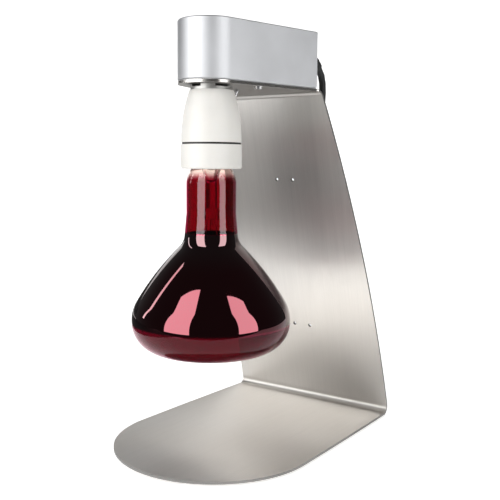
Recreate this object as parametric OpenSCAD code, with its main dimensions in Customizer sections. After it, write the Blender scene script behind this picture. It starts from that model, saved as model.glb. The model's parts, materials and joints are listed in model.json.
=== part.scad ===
// Infrared heat therapy lamp: a red reflector bulb in a porcelain lampholder, hung under a satin
// aluminium head on a stand that is bent from one sheet of brushed stainless steel.
// Millimetres. +Z is up and the front faces -Y. The origin is the centre of the footprint on the table.

/* [Stand] */
// Thickness of the stand's sheet
sheet_t = 2; // [1.5:0.1:3]
// Widest width of the base
base_w = 165; // [150:1:220]
// Depth of the base, from its front edge to the back of its bend
base_depth = 233; // [215:1:300]
// How much narrower the base is at its bend than at its widest
base_narrowing = 4; // [1:0.5:20]
// Inner radius of both bends
bend_ri = 4.5; // [3:0.5:8]
// Lean of the back panel towards the front, from upright
panel_lean = 14; // [8:0.5:18]
// Width of the back panel at its top bend
panel_top_w = 94; // [91:1:120]
// How far each long side of the panel bows outwards
panel_side_bow = 6.4; // [2:0.2:10]
// Diameter of the four small holes in the panel
panel_hole_d = 3; // [2:0.5:5]
// Spacing of each pair of panel holes
panel_hole_pitch = 16.3; // [10:0.1:30]
// Height of the lower pair of holes, measured along the panel
panel_hole_low = 70.1; // [40:1:100]
// Height of the upper pair of holes, measured along the panel
panel_hole_high = 210.4; // [150:1:240]
// Height of the rubber feet under the base
foot_h = 2; // [1:0.5:5]
// Diameter of a rubber foot
foot_d = 12; // [8:1:20]

/* [Head] */
// Clear height between the base and the arm
arm_clear = 282.8; // [270:1:320]
// Distance of the bulb's axis in front of the back edge of the base
bulb_reach = 157.8; // [145:1:165]
// Radius of the head's round nose
nose_r = 24.5; // [23:0.5:30]
// Distance of the nose's centre in front of the bulb's axis
nose_offset = 2.2; // [0:0.2:6]
// Width of the head and the arm at the back
head_rear_w = 89; // [80:1:90]
// Height of the head's housing
head_h = 45.5; // [42:0.5:60]
// Wall of the housing
head_wall = 2; // [1.2:0.1:3]
// Height of the polished chamfer round the bottom of the housing
polish_h = 1.4; // [0.5:0.1:2]
// Height of the cord's exit above the arm
cord_exit_h = 31; // [20:1:32]
// Distance of the cord's exit to the side of the centre line
cord_exit_x = 24; // [15:1:30]

/* [Lampholder] */
// Largest diameter of the porcelain
holder_d = 47; // [44:0.5:52]
// Diameter of the porcelain's top
holder_top_d = 34; // [33:0.5:38]
// Height of the domed upper part
holder_body_h = 39.4; // [36:0.2:44]
// Bulge of the dome's side beyond a straight cone
holder_bulge = 1.75; // [0.5:0.05:3]
// Thickness of the black ring between the two porcelain parts
ring_t = 1.5; // [1:0.1:2.5]
// Height of the porcelain skirt
skirt_h = 18.6; // [16:0.2:22]
// Diameter of the steel collar above the porcelain
collar_d = 32.4; // [30:0.2:36]
// Height of the collar
collar_h = 4; // [3:0.1:6]

/* [Bulb] */
// Largest diameter of the bulb
bulb_d = 125; // [110:1:130]
// Overall length of the bulb
bulb_len = 181; // [175:1:190]
// Depth of the bulb's contact below the top of the porcelain
tip_depth = 26; // [24:0.5:28]
// Diameter of the bulb's neck
neck_d = 38.6; // [34:0.2:39]
// Thickness of the glass
glass_t = 1.2; // [0.8:0.1:1.6]
// Pitch of the screw thread
thread_pitch = 3.629; // [3.4:0.001:3.8]

/* [Switch] */
// Distance of the toggle switch behind the bulb's axis
switch_back = 33; // [31:1:40]
// Diameter of the switch's threaded bushing
bushing_d = 4.2; // [4:0.1:6]
// Length of the lever below the arm
lever_len = 6.2; // [5:0.1:12]
// Swing of the lever from end to end
lever_swing = 24; // [16:1:26]

/* [Cord] */
// Diameter of the mains cord
cord_d = 6; // [5:0.1:6.4]
// Mean diameter of the coil's turns
coil_d = 69; // [64:1:72]

/* [Hidden] */
$fn = 64;

slip = 0.05;        // radial clearance of a running fit
gap = 0.3;          // clearance between pieces that don't touch
thin = 0.02;        // overlap that joins two shapes of one solid

// ---- stand ----
base_top = foot_h + sheet_t;
bend_ro = bend_ri + sheet_t;
front_y = -base_depth / 2;
nose_arc_y = front_y + base_w / 2;
rear_w = base_w - base_narrowing;
low_bend = [base_depth / 2 - bend_ro, base_top + bend_ri];
base_side_len = low_bend[0] - nose_arc_y;
base_side_r = (pow(base_side_len, 2) + pow(base_narrowing / 2, 2)) / base_narrowing;
arm_under = base_top + arm_clear;
arm_top = arm_under + sheet_t;
panel_len = (arm_under - bend_ri - low_bend[1]) / cos(panel_lean);
high_bend = [low_bend[0] - panel_len * sin(panel_lean), arm_under - bend_ri];
panel_foot = low_bend + bend_ri * [cos(panel_lean), sin(panel_lean)];
function panel_point(v) = panel_foot + v * [-sin(panel_lean), cos(panel_lean)];
function panel_back_y(z) = panel_foot[0] + sheet_t / cos(panel_lean) - (z - panel_foot[1]) * tan(panel_lean);

// ---- head: a round nose with straight sides that run out to the back ----
axis_y = base_depth / 2 - bulb_reach;
nose_y = axis_y - nose_offset;
head_back_y = high_bend[0] - gap;
head_len = head_back_y - nose_y;
side_taper = acos(nose_r / norm([head_rear_w / 2, head_len])) - atan2(head_len, head_rear_w / 2);
function side_x(y) = nose_r / cos(side_taper) + (y - nose_y) * tan(side_taper);
head_top = arm_top + head_h;
arm_rear_x = side_x(high_bend[0]);
edge_break = 0.8;
boss_y = axis_y + 25;
boss_r = 4;
boss_x = side_x(boss_y) - head_wall - boss_r + 0.6;
boss_h = 16;
m4_r = 2;
bracket_w = 72;
bracket_h = 12;
bracket_foot = 10;
bracket_t = 1.5;
bracket_screw_x = 30;
bracket_screw_z = arm_top + 7;

// ---- lampholder ----
holder_top = arm_under - collar_h;
body_base = holder_top - holder_body_h;
skirt_top = body_base - ring_t;
holder_base = skirt_top - skirt_h;
holder_r = holder_d / 2;
collar_disc_t = 1.4;
collar_wall = 1.2;
collar_tabs = 4;
collar_tab_turn = 28;
nipple_r = 5;
nipple_bore_r = 4;
roof_t = 5;
cavity_r = 17;
chamber_r = 13;
carrier_top = holder_top - 16.8;
carrier_t = 7.5;
carrier_base = carrier_top - carrier_t;
spigot_r = 19.4;
spigot_h = 9;
holder_screw_x = 11;
holder_screw_r = 1.75;
tip_z = holder_top - tip_depth;

// ---- screw thread: a rolled sheet whose radius waves along a helix ----
thread_mid_r = 12.75;
thread_wave = 0.4;
thread_sheet = 0.4;
thread_gap = 0.4;
thread_sides = 24;
shell_steps = 22;
cap_steps = 20;
wave_step = thread_pitch / 4;
shell_low = carrier_base - shell_steps * wave_step;
cap_rim_z = tip_z - 27;
cap_low = cap_rim_z + 3;
cap_high = cap_low + cap_steps * wave_step;
function wave_r(z, a, mid) = mid + thread_wave * sin(360 * (z / thread_pitch - a / 360));

// ---- bulb: arcs in a plane, [radius, height above the widest place] ----
bulb_bottom = tip_z - bulb_len;
dome_drop = 29;
rim_r = 24.5;
widest_z = bulb_bottom + dome_drop;
bulb_r = bulb_d / 2;
rim_x = bulb_r - rim_r;
dome_rise = (pow(rim_x, 2) - pow(dome_drop - rim_r, 2)) / (2 * (dome_drop - rim_r));
dome_r = dome_rise + dome_drop;
dome_angle = -atan2(dome_rise, rim_x);
shoulder_r = 30;
shoulder_angle = 31;
flank_r = 220;
shoulder_c = [bulb_r - shoulder_r, 0];
flank_c = shoulder_c + (shoulder_r - flank_r) * [cos(shoulder_angle), sin(shoulder_angle)];
flank_top = 58;
flank_angle = asin((flank_top - flank_c[1]) / flank_r);
throat_r = 14;
throat_c = flank_c + (flank_r + throat_r) * [cos(flank_angle), sin(flank_angle)];
throat_end = 4;
neck_r = neck_d / 2;
neck_from = 90;
neck_to = 107;
crown_r = 20;
seal_r = 13.4;
collet_r = 11.3;
crown_drop = acos((seal_r - neck_r + crown_r) / crown_r);
cap_z = cap_rim_z - widest_z;
seal_end = cap_z + 6;
function arc(c, r, from, to, n) = [for (i = [0:n]) let (a = from + (to - from) * i / n)
    c + r * [cos(a), sin(a)]];
// The outline of the glass, moved inwards by o, from the bottom of the dome to the seal
function bulb_outline(o) = concat(
    arc([0, dome_rise], dome_r - o, -90, dome_angle, 4),
    arc([rim_x, 0], rim_r - o, dome_angle, 0, 10),
    arc(shoulder_c, shoulder_r - o, 0, shoulder_angle, 4),
    arc(flank_c, flank_r - o, shoulder_angle, flank_angle, 5),
    arc(throat_c, throat_r + o, 180 + flank_angle, 180 + throat_end, 5),
    [[neck_r - o, neck_from]],
    arc([neck_r - crown_r, neck_to], crown_r - o, 0, crown_drop, 5),
    [[seal_r - o, cap_z - 0.2 - o / 2], [collet_r - o, cap_z - 0.2 - o / 2], [collet_r - o, seal_end]]
);

// ---- filament and stem ----
stem_top = widest_z + seal_end;
press_z = widest_z + 88;
wire_r = 0.5;
filament_z = widest_z + 20;
filament_ring_r = 15;
filament_points = 23;
filament_r = 0.6;
hook_count = 5;
bead_z = widest_z + 52;
bead_low = 1.5;

// ---- switch ----
switch_y = axis_y + switch_back;
bushing_r = bushing_d / 2;
bushing_out = 1.8;
pivot_z = arm_under + 0.9;
ball_r = 1.25;
case_z = arm_top + 2.2;
case_size = [10, 8.4, 9];
case_wall = 0.8;
rocker_z = case_z + 2.9;
rocker_t = 0.5;
rocker_tilt = lever_swing / 3;
terminal_pitch = 2.6;
terminal_out = 4;
pad_z = case_z + case_size[2] + terminal_out + gap;

// ---- wiring in the head ----
core_r = 1.1;
block_pos = [-17, head_back_y - 30.7];
block_size = [22, 15, 13];
block_bore = 2.2;
block_stud_x = 0;
port_x = 1.3 * block_size[0] / 4;
port_z = arm_top + block_size[2] / 2;
earth_pos = [14, head_back_y - 20.7];
earth_stud_h = 9;
exit_y = head_back_y;
exit_z = arm_top + cord_exit_h;
entry_y = exit_y - head_wall - 10;

// ---- cord: it leaves the head, hangs behind the panel and runs to a coil on the table ----
function unit(v) = v / norm(v);
function bezier(a, b, c, d, n) = [for (i = [1:n]) let (t = i / n, u = 1 - t)
    pow(u, 3) * a + 3 * u * u * t * b + 3 * u * t * t * c + pow(t, 3) * d];
cord_r = cord_d / 2;
bush_flange_r = 7;
relief_bend = [[2, 0], [9, 0], [16, -0.5], [23, -2], [30, -4.9], [36, -9.2]];
relief_radii = [5.8, 5.4, 5.1, 4.8, 4.5, 4.1];
relief_path = [for (p = relief_bend) [cord_exit_x, exit_y + p[0], exit_z + p[1]]];
relief_end = relief_path[len(relief_path) - 1];
relief_dir = unit(relief_end - relief_path[len(relief_path) - 2]);
tie_t = 0.5;
cord_lie_z = cord_r + tie_t + 0.1;
panel_off = 5.6;
panel_dir = [0, sin(panel_lean), -cos(panel_lean)];
function behind_panel(x, z) = [x, panel_back_y(z) + panel_off, z];
hang_end = behind_panel(cord_exit_x - 1.5, arm_under / 2);
run_end = behind_panel(cord_exit_x - 3, 60);
land = [cord_exit_x - 4, base_depth / 2 + 43, cord_lie_z];
coil_start = land + [0, 9, 0];
cord_route = concat(
    [relief_end, relief_end + 2 * relief_dir],
    bezier(relief_end + 2 * relief_dir, relief_end + 30 * relief_dir,
        hang_end - 100 * panel_dir, hang_end, 12),
    [for (i = [1:3]) hang_end + (run_end - hang_end) * i / 3],
    bezier(run_end, run_end + 30 * panel_dir, land - [0, 28, 0], land, 8),
    [land + [0, 5, 0], coil_start]
);
coil_turns = 6.25;
coil_layers = 4;
turn_pitch = cord_d + 0.65;
coil_swing = turn_pitch * coil_turns / coil_layers;
coil_out_r = coil_d / 2 + coil_swing / 2;
coil_c = [coil_start[0] - coil_out_r, coil_start[1] + 1];
coil_steps = 24;
coil_rings = coil_turns * coil_steps;
coil_top_z = cord_lie_z + (coil_layers - 1) * turn_pitch;
tail_y = coil_c[1] + coil_out_r;
tail_start = [coil_c[0] - cord_d, tail_y, coil_top_z];
plug_face_r = 18.5;
plug_z = plug_face_r;
plug_x = coil_c[0] - 51;
tail_route = concat([tail_start, tail_start - [2, 0, 0]],
    bezier(tail_start - [2, 0, 0], tail_start - [22, 0, 0],
        [plug_x + 22, tail_y, plug_z], [plug_x + 2, tail_y, plug_z], 6),
    [[plug_x, tail_y, plug_z]]);
plug_face_l = 21;
plug_grip_l = 22;
plug_boot_l = 26;
plug_len = plug_boot_l + plug_grip_l + plug_face_l;
pin_r = 2.4;
pin_l = 19;
pin_pitch = 19;

// ---- sweeps ----
function tangent(p, i) = unit(p[min(i + 1, len(p) - 1)] - p[max(i - 1, 0)]);
// A frame at each point that keeps its side square to the tangent: [tangent, side, other side]
function next_side(t, s) = unit(s - (s * t) * t);
function sides_along(p, s0) = [for (i = 0, s = next_side(tangent(p, 0), s0); i < len(p);
    i = i + 1, s = next_side(tangent(p, min(i, len(p) - 1)), s)) s];
// A tube of n sides through the points p, with a radius for each point
module tube(p, r, n, s0 = [0, 0, 1]) {
    s = sides_along(p, s0);
    rings = [for (i = [0:len(p) - 1]) let (t = tangent(p, i), b = cross(t, s[i]))
        for (k = [0:n - 1]) p[i] + r[i] * (cos(360 * k / n) * s[i] + sin(360 * k / n) * b)];
    last = (len(p) - 1) * n;
    walls = [for (i = [0:len(p) - 2], k = [0:n - 1]) let (a = i * n + k, b = i * n + (k + 1) % n)
        each [[a, a + n, b], [b, a + n, b + n]]];
    ends = [for (k = [1:n - 2]) each [[0, k, k + 1], [last, last + k + 1, last + k]]];
    polyhedron(rings, concat(walls, ends));
}
module even_tube(p, r, n, s0 = [0, 0, 1]) {
    tube(p, [for (q = p) r], n, s0);
}
// A straight round bar between two points
module bar(a, b, r) {
    d = b - a;
    translate(a) rotate([0, acos(d[2] / norm(d)), atan2(d[1], d[0])]) cylinder(r = r, h = norm(d));
}
// A sheet tube whose radius waves along a helix, from z0 in steps of a quarter pitch
module wavy_tube(z0, steps, mid, wall, wavy_inside, wavy_outside) {
    n = thread_sides;
    inner = mid - wall / 2;
    outer = mid + wall / 2;
    levels = [for (i = [0:steps]) z0 + i * wave_step];
    function ring(z, r, wavy) = [for (k = [0:n - 1]) let (a = 360 * k / n, q = wavy ? wave_r(z, a, r) : r)
        [q * cos(a), q * sin(a), z]];
    plain_in = inner - (wavy_inside ? 0 : thread_wave);
    plain_out = outer + (wavy_outside ? 0 : thread_wave);
    points = concat([for (z = levels) each ring(z, plain_out, wavy_outside)],
        [for (z = levels) each ring(z, plain_in, wavy_inside)]);
    m = (steps + 1) * n;
    skin = [for (i = [0:steps - 1], k = [0:n - 1]) let (a = i * n + k, b = i * n + (k + 1) % n)
        each [[a, a + n, b], [b, a + n, b + n], [m + a, m + b, m + a + n], [m + b, m + b + n, m + a + n]]];
    top = steps * n;
    caps = [for (k = [0:n - 1]) let (a = k, b = (k + 1) % n)
        each [[a, b, m + a], [b, m + b, m + a],
              [top + a, m + top + a, top + b], [top + b, m + top + a, m + top + b]]];
    polyhedron(points, concat(skin, caps));
}

// ---- shapes that repeat ----
// Plan of a round nose of radius r at [0, y0] with straight sides out to [x1, y1]
module tapered_plan(r, y0, x1, y1) {
    translate([0, y0]) circle(r = r);
    polygon([[x1, y1], [r * cos(side_taper), y0 - r * sin(side_taper)],
        [-r * cos(side_taper), y0 - r * sin(side_taper)], [-x1, y1]]);
}
// A solid on that plan with 45 degree chamfers round its lower and upper edges
module chamfered_plan(r, y0, y1, h, low, high) {
    module plan(inset) {
        tapered_plan(r - inset, y0, side_x(y1) - inset / cos(side_taper), y1, $fn = 120);
    }
    hull() {
        linear_extrude(thin) plan(low);
        translate([0, 0, low]) linear_extrude(h - low - high) plan(0);
        translate([0, 0, h - thin]) linear_extrude(thin) plan(high);
    }
}
module both_sides() {
    children();
    mirror([1, 0, 0]) children();
}
module at_axis() {
    translate([0, axis_y, 0]) children();
}
module ring_solid(r_out, r_in, z0, z1) {
    translate([0, 0, z0]) difference() {
        cylinder(r = r_out, h = z1 - z0);
        translate([0, 0, -1]) cylinder(r = r_in, h = z1 - z0 + 2);
    }
}
// A pan-head screw whose head's underside is at the origin, its shank running up
module pan_screw(r, l, head_r, head_h) {
    translate([0, 0, -thin]) cylinder(r = r, h = l + thin);
    difference() {
        translate([0, 0, -head_h]) cylinder(r1 = head_r * 0.8, r2 = head_r, h = head_h);
        for (a = [0, 90]) rotate([0, 0, a]) translate([-head_r * 0.55, -head_r * 0.1, -head_h - 1])
            cube([head_r * 1.1, head_r * 0.2, 1 + head_h * 0.6]);
    }
}
module hex_nut(across, h, bore_r) {
    difference() {
        cylinder(d = across / cos(30), h = h, $fn = 6);
        translate([0, 0, -1]) cylinder(r = bore_r, h = h + 2);
    }
}
// ---- stand ----
// The sheet seen from the side, from the front of the base round both bends to the front of the arm
module stand_profile() {
    polygon(concat(
        [[front_y - 1, foot_h]],
        arc(low_bend, bend_ro, -90, panel_lean, 24),
        arc(high_bend, bend_ro, panel_lean, 90, 18),
        [[front_y - 1, arm_top], [front_y - 1, arm_under]],
        arc(high_bend, bend_ri, 90, panel_lean, 18),
        arc(low_bend, bend_ri, panel_lean, -90, 24),
        [[front_y - 1, base_top]]
    ));
}
module base_plan() {
    side_x0 = base_side_r - base_w / 2;
    translate([0, nose_arc_y]) circle(r = base_w / 2, $fn = 180);
    intersection() {
        translate([-side_x0, nose_arc_y]) circle(r = base_side_r, $fn = 720);
        translate([side_x0, nose_arc_y]) circle(r = base_side_r, $fn = 720);
        translate([-base_w, nose_arc_y]) square([2 * base_w, base_side_len + 2 * bend_ro]);
    }
}
// The panel's outline, and beyond both its ends
module panel_plan() {
    x0 = rear_w / 2;
    x1 = panel_top_w / 2;
    chord = norm([x0 - x1, panel_len]);
    side_r = (pow(chord / 2, 2) + pow(panel_side_bow, 2)) / (2 * panel_side_bow);
    inward = unit([-panel_len, x1 - x0]);
    c = [(x0 + x1) / 2, panel_len / 2] + (side_r - panel_side_bow) * inward;
    intersection() {
        translate(c) circle(r = side_r, $fn = 720);
        translate([-c[0], c[1]]) circle(r = side_r, $fn = 720);
    }
}
module panel_frame() {
    translate([0, panel_foot[0], panel_foot[1]]) rotate([90 + panel_lean, 0, 0]) children();
}
// What the panel's outline leaves of the sheet, between its inner and outer face
module panel_trim() {
    panel_frame() translate([0, 0, -sheet_t - 1]) linear_extrude(sheet_t + 2) difference() {
        translate([-base_w, -bend_ro - 2]) square([2 * base_w, panel_len + bend_ro + 6]);
        panel_plan();
    }
}
// The sheet seen from the front: full width, then drawn in over the top bend to the arm
module front_outline() {
    z0 = high_bend[1] + 0.2;
    x0 = panel_top_w / 2 + 0.8;
    x1 = arm_rear_x + 0.3;
    polygon([[-base_w, 0], [base_w, 0], [base_w, z0 - 10], [x0, z0], [x1, arm_top + 0.2],
        [-x1, arm_top + 0.2], [-x0, z0], [-base_w, z0 - 10]]);
}
module arm_trim() {
    y1 = high_bend[0] + 0.5;
    flare = 4;
    translate([0, 0, arm_under - bend_ro]) linear_extrude(bend_ro + 2 * sheet_t) difference() {
        translate([-base_w, front_y - 2]) square([2 * base_w, y1 + flare - front_y + 2]);
        tapered_plan(nose_r, nose_y, side_x(y1), y1);
        polygon([[-side_x(y1), y1 - 1], [side_x(y1), y1 - 1], [side_x(y1), y1],
            [side_x(y1) + 4 * flare, y1 + flare + 1],
            [-side_x(y1) - 4 * flare, y1 + flare + 1], [-side_x(y1), y1]]);
    }
}
module stand_plate() {
    color("silver") difference() {
        intersection() {
            rotate([90, 0, 90]) linear_extrude(height = 2 * base_w, center = true) stand_profile();
            linear_extrude(arm_top + 1) base_plan();
            rotate([90, 0, 0]) linear_extrude(height = 2 * base_depth, center = true) front_outline();
        }
        panel_trim();
        arm_trim();
        for (v = [panel_hole_low, panel_hole_high], s = [-1, 1]) panel_frame()
            translate([s * panel_hole_pitch / 2, v, -3 * sheet_t])
                cylinder(d = panel_hole_d, h = 6 * sheet_t);
        translate([0, axis_y, arm_under - 1]) cylinder(r = nipple_r + slip, h = sheet_t + 2);
        translate([0, switch_y, arm_under - 1]) cylinder(r = bushing_r + slip, h = sheet_t + 2);
        both_sides() translate([boss_x, boss_y, arm_under - 1]) cylinder(r = m4_r + gap, h = sheet_t + 2);
    }
}
module rubber_feet() {
    front = [base_w * 0.33, nose_arc_y - base_w * 0.2];
    back = [rear_w / 2 - foot_d, low_bend[0] - foot_d];
    color([0.1, 0.1, 0.1]) for (p = [front, back]) both_sides()
        translate([p[0], p[1], 0]) cylinder(d = foot_d, h = foot_h);
}

// ---- head ----
module head_housing() {
    inner_y = head_back_y - head_wall;
    inner_x = side_x(inner_y) - head_wall / cos(side_taper);
    color([0.78, 0.79, 0.81]) difference() {
        union() {
            difference() {
                translate([0, 0, arm_top])
                    chamfered_plan(nose_r, nose_y, head_back_y, head_h, polish_h, edge_break);
                translate([0, 0, arm_top - 1]) linear_extrude(head_h - head_wall + 1)
                    tapered_plan(nose_r - head_wall, nose_y, inner_x, inner_y);
            }
            both_sides() translate([boss_x, boss_y, arm_top]) cylinder(r = boss_r, h = boss_h);
        }
        both_sides() translate([boss_x, boss_y, arm_top - 1]) cylinder(r = m4_r, h = boss_h - 1);
        translate([cord_exit_x, head_back_y + 1, exit_z]) rotate([90, 0, 0])
            cylinder(r = 5, h = head_wall + 2);
        both_sides() translate([bracket_screw_x, head_back_y + 1, bracket_screw_z])
            rotate([90, 0, 0]) cylinder(r = 1.7, h = head_wall + 2);
    }
}
module housing_screws() {
    color("gainsboro") both_sides() translate([boss_x, boss_y, arm_under]) pan_screw(m4_r, 12, 3.4, 2.2);
}
module rear_bracket() {
    face_y = head_back_y - head_wall;
    color("lightgray") difference() {
        translate([-bracket_w / 2, face_y - bracket_foot, arm_top]) union() {
            cube([bracket_w, bracket_foot, bracket_t]);
            translate([0, bracket_foot - bracket_t, 0]) cube([bracket_w, bracket_t, bracket_h]);
        }
        both_sides() translate([bracket_screw_x, face_y + 1, bracket_screw_z])
            rotate([90, 0, 0]) cylinder(r = 1.5, h = bracket_t + 2);
    }
}
module rear_screws() {
    color("gainsboro") both_sides() translate([bracket_screw_x, head_back_y, bracket_screw_z])
        rotate([90, 0, 0]) pan_screw(1.5, 6, 2.8, 1.8);
}

// ---- lampholder ----
module holder_collar() {
    disc_top = holder_top + collar_disc_t;
    tab_w = 11;
    color("darkgray") at_axis() difference() {
        union() {
            translate([0, 0, holder_top]) cylinder(d = collar_d, h = collar_disc_t);
            ring_solid(collar_d / 2, collar_d / 2 - collar_wall, holder_top, disc_top + 0.8);
            intersection() {
                ring_solid(collar_d / 2, collar_d / 2 - collar_wall, holder_top, arm_under);
                for (i = [0:collar_tabs - 1]) rotate([0, 0, collar_tab_turn - 90 + 360 * i / collar_tabs])
                    translate([0, -tab_w / 2, holder_top]) cube([collar_d, tab_w, collar_h]);
            }
        }
        translate([0, 0, holder_top - 1]) cylinder(r = nipple_r + slip, h = collar_h);
        for (s = [-1, 1]) translate([0, s * holder_screw_x, holder_top - 1])
            cylinder(r = holder_screw_r + slip, h = collar_h);
    }
}
module threaded_nipple() {
    color("gold") at_axis() ring_solid(nipple_r, nipple_bore_r, holder_top - 3, arm_top + 8);
}
module nipple_washer() {
    color("silver") at_axis() ring_solid(9, nipple_r + slip, arm_top, arm_top + 0.8);
}
module nipple_nut() {
    color("gold") at_axis() translate([0, 0, arm_top + 0.8]) hex_nut(14, 3, nipple_r + slip);
}
module holder_body() {
    r0 = holder_top_d / 2;
    r1 = holder_r - 0.3;
    chord = norm([r1 - r0, holder_body_h]);
    dome_side_r = (pow(chord / 2, 2) + pow(holder_bulge, 2)) / (2 * holder_bulge);
    c = [(r0 + r1) / 2, -holder_body_h / 2]
        + (dome_side_r - holder_bulge) * unit([-holder_body_h, -(r1 - r0)]);
    color("whitesmoke") at_axis() difference() {
        translate([0, 0, holder_top]) union() {
            rotate_extrude($fn = 96) intersection() {
                translate(c) circle(r = dome_side_r, $fn = 720);
                translate([0, -holder_body_h]) square([holder_d, holder_body_h]);
            }
            translate([0, 0, -holder_body_h - spigot_h]) cylinder(r = spigot_r, h = spigot_h + 1);
        }
        translate([0, 0, body_base - spigot_h - 1])
            cylinder(r = cavity_r, h = carrier_top - body_base + spigot_h + 1);
        translate([0, 0, carrier_top - thin])
            cylinder(r = chamber_r, h = holder_top - roof_t - carrier_top + thin);
        translate([0, 0, holder_top - roof_t - 1]) cylinder(r = nipple_r + gap, h = roof_t + 2);
        for (s = [-1, 1]) translate([0, s * holder_screw_x, holder_top - roof_t - 1])
            cylinder(r = holder_screw_r + gap, h = roof_t + 2);
    }
}
module holder_ring() {
    color([0.08, 0.08, 0.08]) at_axis() ring_solid(holder_r - 0.9, spigot_r + 0.1, skirt_top, body_base);
}
module holder_skirt() {
    lip_r = 18.2;
    lip_z = skirt_top - spigot_h - ring_t;
    color("whitesmoke") at_axis() difference() {
        translate([0, 0, holder_base]) rotate_extrude($fn = 96)
            polygon([[0, 0], [holder_r - 1, 0], [holder_r, 1], [holder_r, skirt_h], [0, skirt_h]]);
        translate([0, 0, lip_z + 3]) cylinder(r = spigot_r + slip, h = skirt_h);
        translate([0, 0, holder_base - 1]) cylinder(r = lip_r, h = skirt_h);
        translate([0, 0, holder_base - thin]) cylinder(r1 = lip_r + 3, r2 = lip_r, h = 3);
    }
}
module contact_carrier() {
    color("ivory") at_axis() difference() {
        translate([0, 0, carrier_base]) cylinder(r = cavity_r - 0.2, h = carrier_t);
        translate([0, 0, carrier_base - 1]) cylinder(r = 1.5 + slip, h = carrier_t + 2);
        for (s = [-1, 1]) translate([0, s * holder_screw_x, carrier_base - 1])
            cylinder(r = holder_screw_r + gap, h = carrier_t + 2);
        for (s = [-1, 1]) translate([0, s * holder_screw_x, carrier_base - 1]) cylinder(r = 3.4, h = 3.2);
        translate([0, 0, carrier_base - 1]) cylinder(r = 6, h = 1 + 1.2);
    }
}
module holder_screws() {
    seat = carrier_base + 2.2;
    color("gold") at_axis() for (s = [-1, 1]) translate([0, s * holder_screw_x, seat])
        pan_screw(holder_screw_r, holder_top + collar_disc_t - seat, 3, 1.8);
}
module screw_shell() {
    color("goldenrod") at_axis()
        wavy_tube(shell_low, shell_steps, thread_mid_r + thread_gap + thread_sheet, thread_sheet,
            true, true);
}
module centre_contact() {
    leaf_z = tip_z + gap;
    color("goldenrod") at_axis() {
        translate([0, 0, leaf_z]) cylinder(r = 4, h = 0.6);
        translate([0, 0, leaf_z]) cylinder(r = 1.5, h = carrier_top - leaf_z);
    }
}
module holder_terminals() {
    color("goldenrod") at_axis() {
        for (s = [-1, 1]) translate([s * 7.2, 0, carrier_top]) difference() {
            translate([-3, -3.5, 0]) cube([6, 7, 7]);
            translate([0, 0, 2]) cylinder(r = 1.3, h = 6);
        }
        translate([-4.3, -1.8, carrier_top]) cube([5.8, 3.6, 0.8]);
    }
}

// ---- bulb ----
module bulb_glass() {
    skin = bulb_outline(0);
    hollow = bulb_outline(glass_t);
    back = [for (i = [len(hollow) - 1:-1:0]) hollow[i]];
    color([0.45, 0.02, 0.05]) at_axis() translate([0, 0, widest_z])
        rotate_extrude($fn = 96) polygon(concat(skin, back));
}
module bulb_cap() {
    rim_out = thread_mid_r + thread_wave + 0.2;
    color("silver") at_axis() {
        wavy_tube(cap_low, cap_steps, thread_mid_r - thread_sheet / 2, thread_sheet, true, true);
        ring_solid(rim_out, collet_r + 0.4, cap_rim_z, cap_low + 0.1);
    }
}
module cap_insulator() {
    color([0.06, 0.05, 0.05]) at_axis() difference() {
        union() {
            translate([0, 0, cap_high]) cylinder(r1 = thread_mid_r, r2 = 6, h = tip_z - 2 - cap_high);
            translate([0, 0, cap_high - 4])
                cylinder(r = thread_mid_r - thread_wave - thread_sheet - 0.25, h = 4);
        }
        translate([0, 0, cap_high - 5]) cylinder(r = 2 + slip, h = 20);
    }
}
module bulb_tip() {
    color("silver") at_axis() {
        translate([0, 0, tip_z - 1.9]) cylinder(r1 = 5.2, r2 = 3.6, h = 1.9);
        translate([0, 0, tip_z - 5]) cylinder(r = 2, h = 3.4);
    }
}
module bulb_stem() {
    flare_r = collet_r - glass_t - 0.1;
    color([0.8, 0.85, 0.85, 0.5]) at_axis() {
        translate([0, 0, press_z]) rotate_extrude($fn = 48) polygon([[0, 0], [4.2, 0], [4.2, 20],
            [flare_r, stem_top - press_z - 4], [flare_r, stem_top - press_z],
            [flare_r - 1, stem_top - press_z], [3, 22], [0, 20]]);
        translate([-6, -1.6, press_z - 9]) cube([12, 3.2, 9 + thin]);
        translate([0, 0, bead_z]) cylinder(r = 1.3, h = press_z - 8 - bead_z);
        translate([0, 0, bead_z - bead_low]) cylinder(r = 2.6, h = 5);
    }
}
module lead_in_wires() {
    color("dimgray") at_axis() for (s = [-1, 1]) {
        bar([s * 4, 0, press_z - 9], [s * 6, 0, bead_z + 12], wire_r);
        bar([s * 6, 0, bead_z + 12], filament_end(s), wire_r);
        translate([s * 6, 0, bead_z + 12]) sphere(r = wire_r + 0.02);
    }
}
function filament_angle(i) = 110 + 320 * i / (filament_points - 1);
function filament_point(i) = let (a = filament_angle(i) - 90)
    [filament_ring_r * sin(a), -filament_ring_r * cos(a), filament_z + (i % 2 == 0 ? 3.5 : -3.5)];
function filament_end(s) = filament_point(s < 0 ? filament_points - 1 : 0) + [0, 0, filament_r + gap];
module filament_hooks() {
    color("dimgray") at_axis() for (i = [1:hook_count]) {
        top = filament_point(2 * round(i * (filament_points - 1) / (hook_count + 1) / 2)) + [0, 0, 0.9];
        eye = [0, 0, bead_z];
        start = eye + (top - eye) * (bead_low + 0.15) / (bead_z - top[2]);
        bar(start, top, 0.25);
    }
}
module filament() {
    path = [for (i = [0:filament_points - 1]) filament_point(i)];
    color("lightgray") at_axis() even_tube(path, filament_r, 6);
}

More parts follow.
